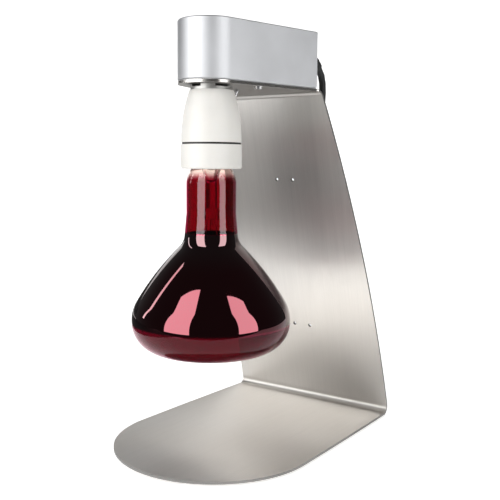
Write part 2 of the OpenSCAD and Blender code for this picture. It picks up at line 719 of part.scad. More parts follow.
// ---- switch ----
module switch_case() {
    color([0.5, 0.05, 0.05]) translate([0, switch_y, case_z]) difference() {
        translate([-case_size[0] / 2, -case_size[1] / 2, 0]) cube(case_size);
        translate([-case_size[0] / 2 + case_wall, -case_size[1] / 2 + case_wall, case_wall])
            cube([case_size[0] - 2 * case_wall, case_size[1] - 2 * case_wall, case_size[2] - 2 * case_wall]);
        translate([0, 0, -1]) cylinder(r = 1.9, h = 3);
        for (i = [-1:1]) translate([-1.3, i * terminal_pitch - 0.45, case_size[2] - 2]) cube([2.6, 0.9, 4]);
    }
}
module switch_bushing() {
    low = arm_under - bushing_out;
    color("gainsboro") translate([0, switch_y, 0]) difference() {
        translate([0, 0, low]) cylinder(r = bushing_r, h = case_z - low);
        translate([0, 0, low - 1]) cylinder(r = ball_r + slip, h = case_z - low + 2);
        translate([0, 0, low - thin]) cylinder(r1 = 1.75, r2 = ball_r + slip, h = pivot_z - low - 0.8);
        translate([0, 0, pivot_z + 0.8])
            cylinder(r1 = ball_r + slip, r2 = 1.8, h = case_z - pivot_z - 0.8 + thin);
    }
}
module switch_nut() {
    color("gainsboro") translate([0, switch_y, arm_top]) hex_nut(6.5, 1.6, bushing_r + slip);
}
module switch_terminals() {
    top = case_z + case_size[2] + terminal_out;
    color("goldenrod") translate([0, switch_y, 0]) for (i = [-1:1]) {
        low = rocker_z + rocker_t + (i == 0 ? 0.15 : 0.6);
        translate([-1.2, i * terminal_pitch - 0.4, low]) cube([2.4, 0.8, top - low]);
    }
}
module switch_rocker() {
    color("peru") translate([0, switch_y, rocker_z + rocker_t]) rotate([rocker_tilt, 0, 0])
        translate([-1.3, -3.1, -rocker_t]) cube([2.6, 6.2, rocker_t]);
}
module switch_lever() {
    reach = lever_len + pivot_z - arm_under;
    neck = pivot_z - arm_under + bushing_out + 0.7;
    color("gainsboro") translate([0, switch_y, pivot_z]) rotate([-lever_swing / 2, 0, 0]) {
        sphere(r = ball_r);
        translate([0, 0, -neck]) cylinder(r = 0.75, h = neck);
        translate([0, 0, -reach + 0.8]) cylinder(r1 = 0.8, r2 = 1.3, h = reach - 0.8 - neck);
        translate([0, 0, -reach + 0.8]) sphere(r = 0.8);
        cylinder(r = 0.7, h = rocker_z - pivot_z - 1.1);
        translate([0, 0, rocker_z - pivot_z - 1.1]) sphere(r = 0.7);
    }
}

// ---- wiring in the head ----
module weld_studs() {
    color("silver") {
        translate([block_pos[0] + block_stud_x, block_pos[1], arm_top])
            cylinder(r = 1.5, h = block_size[2] + 4);
        translate([earth_pos[0], earth_pos[1], arm_top]) cylinder(r = 2, h = earth_stud_h);
    }
}
module stud_nuts() {
    color("gold") {
        translate([block_pos[0] + block_stud_x, block_pos[1], arm_top + block_size[2]])
            hex_nut(5.5, 2.4, 1.5 + slip);
        translate([earth_pos[0], earth_pos[1], arm_top + 0.8]) hex_nut(7, 3.2, 2 + slip);
    }
}
module terminal_block() {
    way = block_size[0] / 4;
    color("ivory") translate([block_pos[0], block_pos[1], arm_top]) difference() {
        translate([-block_size[0] / 2, -block_size[1] / 2, 0]) cube(block_size);
        translate([block_stud_x, 0, -1]) cylinder(r = 1.6, h = block_size[2] + 2);
        for (s = [-1, 1]) {
            translate([s * 1.3 * way, block_size[1], block_size[2] / 2]) rotate([90, 0, 0])
                cylinder(r = block_bore, h = 2 * block_size[1]);
            for (t = [-1, 1]) translate([s * 1.3 * way, t * block_size[1] / 4, block_size[2] / 2])
                cylinder(r = 1.8, h = block_size[2]);
        }
    }
}
module block_screws() {
    way = block_size[0] / 4;
    color("goldenrod") translate([block_pos[0], block_pos[1], arm_top]) for (s = [-1, 1], t = [-1, 1])
        translate([s * 1.3 * way, t * block_size[1] / 4, block_size[2] / 2 + core_r])
            cylinder(r = 1.5, h = 4);
}
module earth_lug() {
    color("gainsboro") translate([earth_pos[0], earth_pos[1], arm_top]) difference() {
        union() {
            cylinder(r = 4, h = 0.8);
            translate([-1.6, -10, 0]) cube([3.2, 8, 0.8]);
            translate([-1.9, -14, 0]) cube([3.8, 5, 2.8]);
        }
        translate([0, 0, -1]) cylinder(r = 2 + slip, h = 3);
        translate([0, -9, 1.4]) rotate([90, 0, 0]) cylinder(r = core_r + slip, h = 6);
    }
}
module core(points, shade) {
    color(shade) even_tube(points, core_r, 6);
}
// From the end of the cord's jacket to the back of the terminal block
module incoming(side, from, shade) {
    port = [block_pos[0] + side * port_x, block_pos[1], port_z];
    mouth = port + [0, block_size[1] / 2 + 4, 0];
    core(concat([from, from - [0, 1, 0]],
        bezier(from - [0, 1, 0], from - [0, 9, 0], mouth + [0, 9, 0], mouth, 8), [port + [0, 1.3, 0]]),
        shade);
}
module live_core() {
    incoming(-1, [cord_exit_x - 1.2, entry_y, exit_z + 1.3], [0.35, 0.18, 0.08]);
}
module neutral_core() {
    incoming(1, [cord_exit_x + 0.2, entry_y, exit_z - 1.6], [0.1, 0.3, 0.75]);
}
module earth_core() {
    from = [cord_exit_x + 1.6, entry_y, exit_z + 1];
    crimp = [earth_pos[0], earth_pos[1] - 10, arm_top + 1.4];
    core(concat([from, from - [0, 1, 0]],
        bezier(from - [0, 1, 0], from - [-7, 26, 8], crimp - [-4, 18, -8], crimp - [0, 5, 0], 9), [crimp]),
        [0.25, 0.6, 0.15]);
}
module switch_feed() {
    port = [block_pos[0] - port_x, block_pos[1], port_z];
    mouth = port - [0, block_size[1] / 2 + 3, 0];
    pad = [0, switch_y, pad_z];
    core(concat([port - [0, 2.7, 0], mouth],
        bezier(mouth, mouth - [0, 9, -6], pad + [0, 0, 13], pad, 9)), [0.35, 0.18, 0.08]);
}
module switched_live() {
    pad = [0, switch_y - terminal_pitch, pad_z];
    top = [1.9, axis_y, arm_top + 10];
    core(concat([pad], bezier(pad, pad + [0.4, -2, 12], top + [0, 3, 16], top, 8),
        [[1.9, axis_y, arm_top], [1.9, axis_y, holder_top - 1], [4.4, axis_y, holder_top - 5.6],
        [7.2, axis_y, holder_top - 9.4], [7.2, axis_y, carrier_top + 4]]), [0.35, 0.18, 0.08]);
}
module holder_neutral() {
    port = [block_pos[0] + port_x, block_pos[1], port_z];
    mouth = port - [0, block_size[1] / 2 + 3, 0];
    top = [-1.9, axis_y, arm_top + 10];
    core(concat([port - [0, 2.7, 0], mouth],
        bezier(mouth, mouth - [6, 14, -8], top + [-6, 8, 22], top, 10),
        [[-1.9, axis_y, arm_top], [-1.9, axis_y, holder_top - 1], [-4.4, axis_y, holder_top - 5.6],
        [-7.2, axis_y, holder_top - 9.4], [-7.2, axis_y, carrier_top + 4]]), [0.1, 0.3, 0.75]);
}

// ---- cord and plug ----
module cord_bush() {
    color([0.07, 0.07, 0.07]) translate([cord_exit_x, head_back_y, exit_z]) rotate([-90, 0, 0])
    difference() {
        union() {
            cylinder(r = bush_flange_r, h = 2);
            translate([0, 0, -head_wall - 0.4]) cylinder(r = 4.9, h = head_wall + 1);
            translate([0, 0, -head_wall - 2]) cylinder(r = 5.8, h = 1.8);
        }
        translate([0, 0, -head_wall - 3]) cylinder(r = cord_r + slip, h = head_wall + 6);
    }
}
module cord_entry() {
    color([0.09, 0.09, 0.09]) translate([cord_exit_x, entry_y, exit_z]) rotate([-90, 0, 0])
        cylinder(r = cord_r, h = exit_y + 2 - entry_y);
}
module cord_relief() {
    color([0.07, 0.07, 0.07]) tube(relief_path, relief_radii, 12);
}
module cord_free() {
    color([0.09, 0.09, 0.09]) even_tube(cord_route, cord_r, 8);
}
// The coil: layer after layer the turns spiral in and out, and climb in the half turn round each reversal
function fold(u) = abs(u % 2 - (u % 2 > 1 ? 2 : 0));
function climb(u) = let (n = floor(u + 0.5), w = coil_layers / coil_turns / 4, d = u - n)
    n < 1 || n >= coil_layers ? min(floor(u), coil_layers - 1)
    : (d <= -w ? n - 1 : (d >= w ? n : n - 0.5 + 0.5 * sin(90 * d / w)));
function coil_point(i) = let (u = coil_layers * i / coil_rings, a = 360 * i / coil_steps,
    r = coil_out_r - coil_swing * fold(u))
    [coil_c[0] + r * cos(a), coil_c[1] + r * sin(a), cord_lie_z + turn_pitch * climb(u)];
coil_path = [for (i = [0:coil_rings]) coil_point(i)];
coil_gap = min([for (i = [0:len(coil_path) - 1], j = [i + coil_steps / 2:len(coil_path) - 1])
    norm(coil_path[i] - coil_path[j])]) - cord_d;
echo(coil_gap = coil_gap);
module cord_coil() {
    color([0.09, 0.09, 0.09]) even_tube(concat([coil_start], coil_path, [tail_start]), cord_r, 6);
}
module cord_tie() {
    w = coil_swing + cord_d + 0.4;
    h = coil_top_z + cord_r + 0.1 - tie_t;
    color([0.05, 0.05, 0.05]) translate([coil_c[0], coil_c[1] - coil_d / 2, 0]) difference() {
        translate([-4, -w / 2 - tie_t, 0]) cube([8, w + 2 * tie_t, h + 2 * tie_t]);
        translate([-5, -w / 2, tie_t]) cube([10, w, h]);
    }
}
module cord_tail() {
    color([0.09, 0.09, 0.09]) even_tube(tail_route, cord_r, 8);
}
module plug_body() {
    color([0.07, 0.07, 0.07]) translate([plug_x, tail_y, plug_z]) rotate([0, -90, 0]) difference() {
        rotate_extrude($fn = 72) polygon([[0, 0], [4.2, 0], [6, plug_boot_l], [11, plug_boot_l + 2],
            [12.5, plug_boot_l + plug_grip_l - 4], [plug_face_r - 1, plug_boot_l + plug_grip_l],
            [plug_face_r, plug_boot_l + plug_grip_l + 1.5], [plug_face_r, plug_len], [0, plug_len]]);
        for (s = [-1, 1]) {
            translate([0, s * pin_pitch / 2, plug_len - 8]) cylinder(r = pin_r + slip, h = 10);
            translate([s * (plug_face_r + 1), -3.2, plug_len - plug_face_l + 3]) translate([-3, 0, 0])
                cube([6, 6.4, plug_face_l]);
        }
    }
}
module plug_pins() {
    color("gainsboro") translate([plug_x - plug_len, tail_y, plug_z]) rotate([0, -90, 0]) for (s = [-1, 1])
        translate([0, s * pin_pitch / 2, -8]) {
            cylinder(r = pin_r, h = 8 + pin_l - 1.2);
            translate([0, 0, 8 + pin_l - 1.2 - thin]) cylinder(r1 = pin_r, r2 = 1.2, h = 1.2);
        }
}
module plug_earth_strips() {
    color("gainsboro") translate([plug_x - plug_len, tail_y, plug_z]) rotate([0, -90, 0]) for (s = [-1, 1])
        translate([s * (plug_face_r - 1.5) - 0.5, -2.4, -plug_face_l + 3]) cube([1, 4.8, plug_face_l - 4]);
}

stand_plate();
rubber_feet();
head_housing();
housing_screws();
rear_bracket();
rear_screws();
holder_collar();
threaded_nipple();
nipple_washer();
nipple_nut();
holder_body();
holder_ring();
holder_skirt();
contact_carrier();
holder_screws();
screw_shell();
centre_contact();
holder_terminals();
bulb_glass();
bulb_cap();
cap_insulator();
bulb_tip();
bulb_stem();
lead_in_wires();
filament_hooks();
filament();
switch_case();
switch_bushing();
switch_nut();
switch_terminals();
switch_rocker();
switch_lever();
weld_studs();
stud_nuts();
terminal_block();
block_screws();
earth_lug();
live_core();
neutral_core();
earth_core();
switch_feed();
switched_live();
holder_neutral();
cord_bush();
cord_entry();
cord_relief();
cord_free();
cord_coil();
cord_tie();
cord_tail();
plug_body();
plug_pins();
plug_earth_strips();
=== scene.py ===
import json
import math
import bmesh
import bpy
from mathutils import Matrix, Vector


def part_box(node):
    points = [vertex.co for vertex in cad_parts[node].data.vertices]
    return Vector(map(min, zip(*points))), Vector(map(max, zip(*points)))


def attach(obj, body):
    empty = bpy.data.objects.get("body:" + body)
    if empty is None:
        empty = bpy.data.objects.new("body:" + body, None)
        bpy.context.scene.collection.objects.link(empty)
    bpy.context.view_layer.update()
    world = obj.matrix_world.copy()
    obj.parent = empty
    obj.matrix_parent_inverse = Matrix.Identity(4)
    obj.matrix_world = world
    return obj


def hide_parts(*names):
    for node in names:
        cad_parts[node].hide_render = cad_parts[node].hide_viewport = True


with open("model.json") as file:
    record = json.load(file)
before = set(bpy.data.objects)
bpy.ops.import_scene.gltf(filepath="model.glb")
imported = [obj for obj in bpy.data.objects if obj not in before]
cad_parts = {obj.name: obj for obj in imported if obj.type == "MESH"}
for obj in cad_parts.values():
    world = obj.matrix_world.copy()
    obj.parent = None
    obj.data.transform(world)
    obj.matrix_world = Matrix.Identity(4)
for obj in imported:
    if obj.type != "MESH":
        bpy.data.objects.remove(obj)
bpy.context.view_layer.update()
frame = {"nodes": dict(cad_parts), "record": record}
scene = bpy.context.scene
scene.view_settings.view_transform = "Standard"

# The bulb's outline, the cord, its relief, the strap and the plug are worked out in millimetres, as in the
# source, and all else in metres.
MM = 0.001


# ---------------------------------------------------------------- camera
LENS, SENSOR = 54.76, 36
YAW, PITCH, ROLL = (math.radians(a) for a in (35.216, 6.435, 0.414))
CAMERA_PLACE = (0.36585, -0.50713, 0.22707)


def camera():
    """The photograph's view. Its numbers come from the fit of the lamp to the photograph."""
    forward = Vector((-math.sin(YAW) * math.cos(PITCH), math.cos(YAW) * math.cos(PITCH), -math.sin(PITCH)))
    level = Vector((math.cos(YAW), math.sin(YAW), 0))
    over = level.cross(forward)
    right = math.cos(ROLL) * level + math.sin(ROLL) * over
    up = -math.sin(ROLL) * level + math.cos(ROLL) * over
    data = bpy.data.cameras.new("camera")
    data.lens, data.sensor_width = LENS, SENSOR
    data.clip_start, data.clip_end = 0.01, 50
    cam = bpy.data.objects.new("camera", data)
    turn = Matrix((right, up, -forward)).transposed().to_4x4()
    cam.matrix_world = Matrix.Translation(CAMERA_PLACE) @ turn
    scene.collection.objects.link(cam)
    scene.camera = cam


# ---------------------------------------------------------------- the bent sheet's measures for its masks
LEAN = math.radians(14)
MOUNTS = {m["name"]: Vector(m["pos_m"]) for m in frame["record"]["mounts"]}


def up_the_panel(name):
    """How far up the leaning panel a mount lies."""
    at = MOUNTS[name]
    return at.z * math.cos(LEAN) - at.y * math.sin(LEAN)


HOLE_X = abs(MOUNTS["panel_hole_low_left"].x)
HOLE_MID = (up_the_panel("panel_hole_high_left") + up_the_panel("panel_hole_low_left")) / 2
HOLE_HALF = (up_the_panel("panel_hole_high_left") - up_the_panel("panel_hole_low_left")) / 2
# Each pair is where a mask starts to fade and where it has faded: distances from a hole's middle, heights, a
# distance along Y, and shares of a surface's normal.
HOLE_RIM = (0.0015, 0.0018)
OVER_BASE = (0.0041, 0.0046)
BASE_EDGE = (0.0042, 0.0046)
BEND_TOP = (0.0100, 0.0125)
BEND_START_Y = (0.100, 0.106)
ARM_UNDER = (0.2835, 0.2865)
BELOW_ARM = (0.2855, 0.2865)
ARM_EDGE = (0.2863, 0.2866)
UPRIGHT = (0.2, 0.5)
SIDEWAYS = (0.6, 0.8)
DOWNWARD = (-0.95, -0.6)

# The parts of a noise's values that a tone or a roughness is spread over
WIDE, MIDDLE, NARROW = (0.3, 0.7), (0.35, 0.7), (0.4, 0.7)


# ---------------------------------------------------------------- node helpers
class Paint:
    """A material's node tree with short calls for the nodes used here."""

    def __init__(self, name, color, rough, metal=0.0, **sockets):
        self.mat = bpy.data.materials.new(name)
        self.mat.use_nodes = True
        self.tree = self.mat.node_tree
        self.shader = self.tree.nodes["Principled BSDF"]
        self.set("Base Color", (*color, 1))
        self.set("Roughness", rough)
        self.set("Metallic", metal)
        for key, value in sockets.items():
            self.set(key.replace("_", " "), value)
        self.mat.diffuse_color = (*color, 1)

    def set(self, name, value):
        self.shader.inputs[name].default_value = value

    def feed(self, **sockets):
        """Links node outputs to the shader's sockets and gives the material."""
        for key, out in sockets.items():
            self.link(out, self.shader.inputs[key.replace("_", " ")])
        return self.mat

    def node(self, kind, **props):
        n = self.tree.nodes.new(kind)
        for key, value in props.items():
            setattr(n, key, value)
        return n

    def link(self, a, b):
        self.tree.links.new(a, b)

    def put(self, socket, value):
        """Sets a socket to a number or a colour, or links an output to it."""
        if isinstance(value, tuple):
            socket.default_value = (*value, 1)
        elif isinstance(value, (int, float)):
            socket.default_value = value
        else:
            self.link(value, socket)

    def place(self, scale=(1, 1, 1)):
        """Object coordinates, scaled."""
        c = self.node("ShaderNodeTexCoord")
        m = self.node("ShaderNodeMapping")
        m.inputs["Scale"].default_value = scale
        self.link(c.outputs["Object"], m.inputs["Vector"])
        return m.outputs["Vector"]

    def along(self, axis, of="Object"):
        """One coordinate of the place, or one share of the normal."""
        c = self.node("ShaderNodeTexCoord")
        s = self.node("ShaderNodeSeparateXYZ")
        self.link(c.outputs[of], s.inputs[0])
        return s.outputs[axis]

    def noise(self, place, scale, detail=3.0, rough=0.5):
        n = self.node("ShaderNodeTexNoise")
        for key, value in (("Scale", scale), ("Detail", detail), ("Roughness", rough)):
            n.inputs[key].default_value = value
        self.link(place, n.inputs["Vector"])
        return n.outputs["Fac"]

    def ramp(self, value, *stops):
        """A colour ramp between two stops, each (position, colour)."""
        r = self.node("ShaderNodeValToRGB")
        for i, (at, color) in enumerate(stops):
            r.color_ramp.elements[i].position = at
            r.color_ramp.elements[i].color = (*color, 1)
        self.link(value, r.inputs["Fac"])
        return r.outputs["Color"]

    def range(self, value, low, high, span, smooth=False):
        """The value, with the ends of span turned into low and high."""
        n = self.node("ShaderNodeMapRange")
        if smooth:
            n.interpolation_type = "SMOOTHSTEP"
        for key, v in (("From Min", span[0]), ("From Max", span[1]), ("To Min", low), ("To Max", high)):
            n.inputs[key].default_value = v
        self.link(value, n.inputs["Value"])
        return n.outputs["Result"]

    def rise(self, value, span):
        return self.range(value, 0, 1, span)

    def fall(self, value, span):
        return self.range(value, 1, 0, span)

    def math(self, op, *values):
        n = self.node("ShaderNodeMath", operation=op)
        for socket, v in zip(n.inputs, values):
            self.put(socket, v)
        return n.outputs["Value"]

    def times(self, a, b):
        return self.math("MULTIPLY", a, b)

    def plus(self, a, b):
        return self.math("ADD", a, b)

    def minus(self, a, b):
        return self.math("SUBTRACT", a, b)

    def mix(self, share, a, b):
        """The colour a, with b in that share."""
        n = self.node("ShaderNodeMix", data_type="RGBA")
        for socket, v in ((n.inputs[0], share), (n.inputs[6], a), (n.inputs[7], b)):
            self.put(socket, v)
        return n.outputs[2]

    def bump(self, height, distance, strength=1.0):
        n = self.node("ShaderNodeBump")
        n.inputs["Distance"].default_value = distance
        n.inputs["Strength"].default_value = strength
        self.link(height, n.inputs["Height"])
        return n.outputs["Normal"]

    def hole_mask(self):
        """1 in and close round the panel's four holes. They lie evenly on both sides of x = 0 and of the line
        HOLE_MID."""
        x, y, z = (self.along(a) for a in "XYZ")
        up = self.minus(self.times(z, math.cos(LEAN)), self.times(y, math.sin(LEAN)))
        across = self.minus(self.math("ABSOLUTE", x), HOLE_X)
        off = self.minus(self.math("ABSOLUTE", self.minus(up, HOLE_MID)), HOLE_HALF)
        far = self.math("SQRT", self.plus(self.times(across, across), self.times(off, off)))
        return self.fall(far, HOLE_RIM)

    def upright_mask(self):
        """1 on upright faces."""
        return self.fall(self.math("ABSOLUTE", self.along("Z", "Normal")), UPRIGHT)

    def arm_edge_mask(self):
        """1 on the upright edge of the arm."""
        return self.times(self.rise(self.along("Z"), ARM_EDGE), self.upright_mask())

    def cut_edge_mask(self):
        """1 on the sheet's cut edges: round the base, and up the panel's sides."""
        base = self.times(self.fall(self.along("Z"), BASE_EDGE), self.upright_mask())
        sideways = self.rise(self.math("ABSOLUTE", self.along("X", "Normal")), SIDEWAYS)
        return self.math("MAXIMUM", base, self.times(sideways, self.fall(self.along("Z"), BELOW_ARM)))

    def bend_mask(self):
        """1 in the bend between the base and the panel."""
        low = self.times(self.rise(self.along("Z"), OVER_BASE), self.fall(self.along("Z"), BEND_TOP))
        return self.times(low, self.rise(self.along("Y"), BEND_START_Y))

    def arm_underside_shade_mask(self):
        """1 on the underside of the arm, which is painted darker there as painted shade."""
        high = self.rise(self.along("Z"), ARM_UNDER)
        return self.times(high, self.fall(self.along("Z", "Normal"), DOWNWARD))


# ---------------------------------------------------------------- materials
def toned(color, factor, lift=0.0):
    """The colour times a factor, plus a lift, and at most 1."""
    return tuple(min(1, c * factor + lift) for c in color)


def brushed(name, color, rough, fine):
    """Brushed sheet metal: fine parallel scratches, narrow across the grain and long along it, which spread
    reflections sideways. The grain runs along the sheet, in the plane of Y and Z. The holes' walls, the arm's
    underside and the bend are painted darker as painted shade, and the cut edges are darker."""
    p = Paint(name, color, rough, 1.0, Anisotropic=0.9, Anisotropic_Rotation=0.25)
    tangent = p.node("ShaderNodeTangent", direction_type="RADIAL", axis="X")
    p.feed(Tangent=tangent.outputs["Tangent"])
    along_grain = p.place((1, 0.02, 0.02))
    hair = p.noise(along_grain, fine, 4, 0.7)
    streak = p.noise(along_grain, fine / 6, 3, 0.6)
    cloud = p.noise(p.place(), 9, 2)
    grain = p.plus(p.times(hair, 0.6), p.times(streak, 0.4))
    hole, arm_edge, bend = p.hole_mask(), p.arm_edge_mask(), p.bend_mask()

    shade = p.mix(p.rise(grain, WIDE), toned(color, 0.94), toned(color, 1.06))
    warm = tuple(c * f for c, f in zip(color, (1.02, 1.0, 0.97)))
    shade = p.mix(p.range(cloud, 0, 0.35, MIDDLE), shade, warm)
    # Painted shade: the holes' walls near black, the arm's underside at half the tone, the bend a touch darker.
    # The cut edges and the arm's edge are darker too.
    for share, tone in ((hole, (0.05, 0.047, 0.043)), (arm_edge, toned(color, 0.85)),
                        (p.arm_underside_shade_mask(), toned(color, 0.5)), (p.cut_edge_mask(), toned(color, 0.42)),
                        (p.times(bend, 0.06), toned(color, 0.4))):
        shade = p.mix(share, shade, tone)

    dull = p.plus(p.range(grain, -0.05, 0.06, WIDE), p.range(cloud, rough - 0.03, rough + 0.04, WIDE))
    dull = p.plus(dull, p.times(bend, 0.12))
    dull = p.plus(p.times(dull, p.minus(1.0, arm_edge)), p.times(arm_edge, 0.2))
    dull = p.math("MAXIMUM", dull, p.times(hole, 0.9))
    return p.feed(Base_Color=shade, Roughness=dull, Normal=p.bump(grain, 1e-5))


def satin(name, color, rough, metal=1.0, grain=2500, depth=6e-6, **sockets):
    """A fine even surface, such as anodised or cast metal, or smooth plastic."""
    p = Paint(name, color, rough, metal, **sockets)
    at = p.place()
    speck = p.noise(at, grain, 2)
    cloud = p.noise(at, 25)
    tone = p.mix(p.rise(cloud, WIDE), toned(color, 0.95), toned(color, 1.04))
    dull = p.plus(p.range(speck, -0.03, 0.03, WIDE), p.range(cloud, rough - 0.03, rough + 0.04, WIDE))
    return p.feed(Base_Color=tone, Roughness=dull, Normal=p.bump(speck, depth))


def porcelain(name, color, rough):
    """Glazed ceramic: a thin clear glaze over a body with faint specks."""
    p = Paint(name, color, rough, Coat_Weight=0.06, Coat_Roughness=0.12, Subsurface_Weight=0.12,
              Subsurface_Scale=0.002, Specular_IOR_Level=0.25)
    p.set("Subsurface Radius", (1.0, 0.8, 0.6))
    at = p.place()
    speck = p.noise(at, 900, 2)
    cloud = p.noise(at, 40)
    tone = p.mix(p.rise(cloud, MIDDLE), toned(color, 0.96), color)
    tone = p.mix(p.range(speck, 0, 0.25, (0.68, 0.8)), tone, (0.45, 0.40, 0.33))
    return p.feed(Base_Color=tone, Roughness=p.range(cloud, rough - 0.04, rough + 0.06, WIDE),
                  Normal=p.bump(cloud, 8e-5, 0.6))


def glass(name, color, rough=0.02):
    """Clear glass with slight changes of polish."""
    p = Paint(name, color, rough, Transmission_Weight=1.0, IOR=1.5)
    cloud = p.noise(p.place(), 60, 2)
    return p.feed(Roughness=p.range(cloud, rough, rough + 0.02, NARROW))


def rubberlike(name, color, rough, depth=2e-5):
    """Rubber, soft plastic or a wire's insulation, with a fine matt skin."""
    p = Paint(name, color, rough, Specular_IOR_Level=0.3)
    at = p.place()
    speck = p.noise(at, 1800)
    cloud = p.noise(at, 60)
    tone = p.mix(p.rise(cloud, MIDDLE), color, toned(color, 1.5, 0.004))
    return p.feed(Base_Color=tone, Roughness=p.range(speck, rough - 0.07, rough + 0.1, WIDE),
                  Normal=p.bump(speck, depth))


def striped(name):
    """Green insulation with a yellow stripe wound round it."""
    p = Paint(name, (0.05, 0.3, 0.05), 0.4)
    w = p.node("ShaderNodeTexWave", wave_type="BANDS", bands_direction="DIAGONAL")
    w.inputs["Scale"].default_value = 70
    p.link(p.place(), w.inputs["Vector"])
    return p.feed(Base_Color=p.ramp(w.outputs["Fac"], (0.48, (0.03, 0.28, 0.04)), (0.52, (0.75, 0.60, 0.03))))


def ruby_glass(low_z, high_z, pale_z):
    """Ruby glass with a mirror coat inside the cone, between low_z and high_z, seen through the red glass.
    Above pale_z the ruby layer ends and the glass is nearly clear. The heights are in metres."""
    p = Paint("ruby_glass", (0.37, 0.003, 0.05), 0.02, Transmission_Weight=1.0, IOR=1.3, Coat_Roughness=0.02)
    z = p.along("Z")
    over_rim = p.range(z, 0, 1, (low_z - 0.0015, low_z + 0.001), True)
    under_neck = p.range(z, 1, 0, (high_z - 0.001, high_z + 0.0005), True)
    mirror = p.times(over_rim, under_neck)
    near_neck = p.range(z, 0, 1, (high_z - 0.03, high_z - 0.008), True)
    cloud = p.noise(p.place(), 45)
    neck_tone = p.mix(p.rise(cloud, MIDDLE), (0.34, 0.002, 0.042), (0.41, 0.005, 0.058))
    tone = p.mix(p.fall(z, (low_z - 0.002, low_z + 0.002)), neck_tone, (0.27, 0.004, 0.055))
    tone = p.mix(p.range(z, 0, 1, (pale_z - 0.003, pale_z + 0.005), True), tone, (0.97, 0.85, 0.79))
    mirror_tone = p.mix(near_neck, (0.057, 0.0093, 0.0135), (0.040, 0.0130, 0.0150))
    return p.feed(Base_Color=p.mix(mirror, tone, mirror_tone), Metallic=mirror,
                  Roughness=p.range(cloud, 0.02, 0.05, NARROW),
                  Coat_Weight=p.times(mirror, p.range(near_neck, 0.27, 0.65, (0.0, 1.0))))


def make_materials():
    """All materials but the bulb's, by name. Blender adds a number where the frame has a material of that
    name, and it is left off here."""
    made = [
        brushed("brushed_stainless", (0.69, 0.67, 0.643), 0.42, 1400),
        satin("satin_aluminium", (0.79, 0.80, 0.82), 0.56, grain=1600, depth=1.2e-5),
        satin("zinc_steel", (0.62, 0.62, 0.62), 0.28),
        satin("collar_steel", (0.45, 0.445, 0.43), 0.48),
        satin("chrome", (0.86, 0.86, 0.87), 0.08, depth=2e-6),
        satin("brass", (0.80, 0.60, 0.28), 0.25),
        porcelain("porcelain", (0.72, 0.705, 0.67), 0.42),
        porcelain("steatite", (0.72, 0.70, 0.66), 0.45),
        rubberlike("black_ring", (0.018, 0.017, 0.016), 0.5),
        rubberlike("rubber", (0.02, 0.02, 0.02), 0.65),
        rubberlike("strap", (0.02, 0.02, 0.021), 0.75, 8e-5),
        rubberlike("black_pvc", (0.012, 0.0125, 0.013), 0.5),
        satin("switch_plastic", (0.30, 0.03, 0.02), 0.4, 0.0),
        satin("block_plastic", (0.75, 0.73, 0.66), 0.42, 0.0),
        rubberlike("brown_wire", (0.16, 0.06, 0.025), 0.4),
        rubberlike("blue_wire", (0.02, 0.12, 0.45), 0.4),
        satin("cap_metal", (0.80, 0.79, 0.77), 0.25),
        satin("solder", (0.62, 0.62, 0.64), 0.35, depth=4e-5),
        satin("wire", (0.45, 0.44, 0.43), 0.35),
        satin("tungsten", (0.35, 0.35, 0.36), 0.4),
        glass("clear_glass", (0.95, 0.96, 0.95)),
        satin("black_glass", (0.012, 0.01, 0.01), 0.08, 0.0, Coat_Weight=0.5),
        striped("green_yellow_wire"),
    ]
    return {m.name.split(".")[0]: m for m in made}


# The material of each node that is carried over. A node that isn't named here is replaced by a piece.
NODES_OF = {
    "brushed_stainless": "stand_plate",
    "satin_aluminium": "head_housing",
    "zinc_steel": "housing_screws rear_bracket rear_screws threaded_nipple nipple_washer nipple_nut"
                  " holder_screws weld_studs earth_lug plug_earth_strips",
    "collar_steel": "holder_collar",
    "chrome": "switch_bushing switch_nut switch_lever plug_pins",
    "brass": "screw_shell centre_contact holder_terminals switch_terminals switch_rocker stud_nuts"
             " block_screws",
    "porcelain": "holder_body holder_skirt",
    "steatite": "contact_carrier",
    "black_ring": "holder_ring",
    "rubber": "rubber_feet",
    "black_pvc": "cord_bush cord_entry cord_relief cord_tie plug_body",
    "switch_plastic": "switch_case",
    "block_plastic": "terminal_block",
    "brown_wire": "live_core switch_feed switched_live",
    "blue_wire": "neutral_core holder_neutral",
    "green_yellow_wire": "earth_core",
    "cap_metal": "bulb_cap",
    "black_glass": "cap_insulator",
    "solder": "bulb_tip",
    "wire": "lead_in_wires filament_hooks",
    "tungsten": "filament",
    "clear_glass": "bulb_stem",
}
MATERIAL_OF = {node: material for material, nodes in NODES_OF.items() for node in nodes.split()}


def dress_nodes(mats):
    """Every carried-over CAD node takes its material."""
    for name, obj in frame["nodes"].items():
        mat = mats[MATERIAL_OF.get(name, "zinc_steel")]
        if obj.material_slots:
            for s in obj.material_slots:
                s.material = mat
        else:
            obj.data.materials.append(mat)


# ---------------------------------------------------------------- mesh helpers
def finish_mesh(name, bm, material):
    """A smooth-shaded object from a bmesh, with one material."""
    mesh = bpy.data.meshes.new(name)
    bm.to_mesh(mesh)
    bm.free()
    mesh.shade_smooth()
    obj = bpy.data.objects.new(name, mesh)
    scene.collection.objects.link(obj)
    mesh.materials.append(material)
    return obj


def bridge(bm, a, b):
    """Faces between two rings of points, either of which may be a single point."""
    steps = max(len(a), len(b))
    for i in range(steps):
        j = (i + 1) % steps
        if len(a) == 1:
            bm.faces.new((a[0], b[j], b[i]))
        elif len(b) == 1:
            bm.faces.new((a[i], a[j], b[0]))
        else:
            bm.faces.new((a[i], a[j], b[j], b[i]))


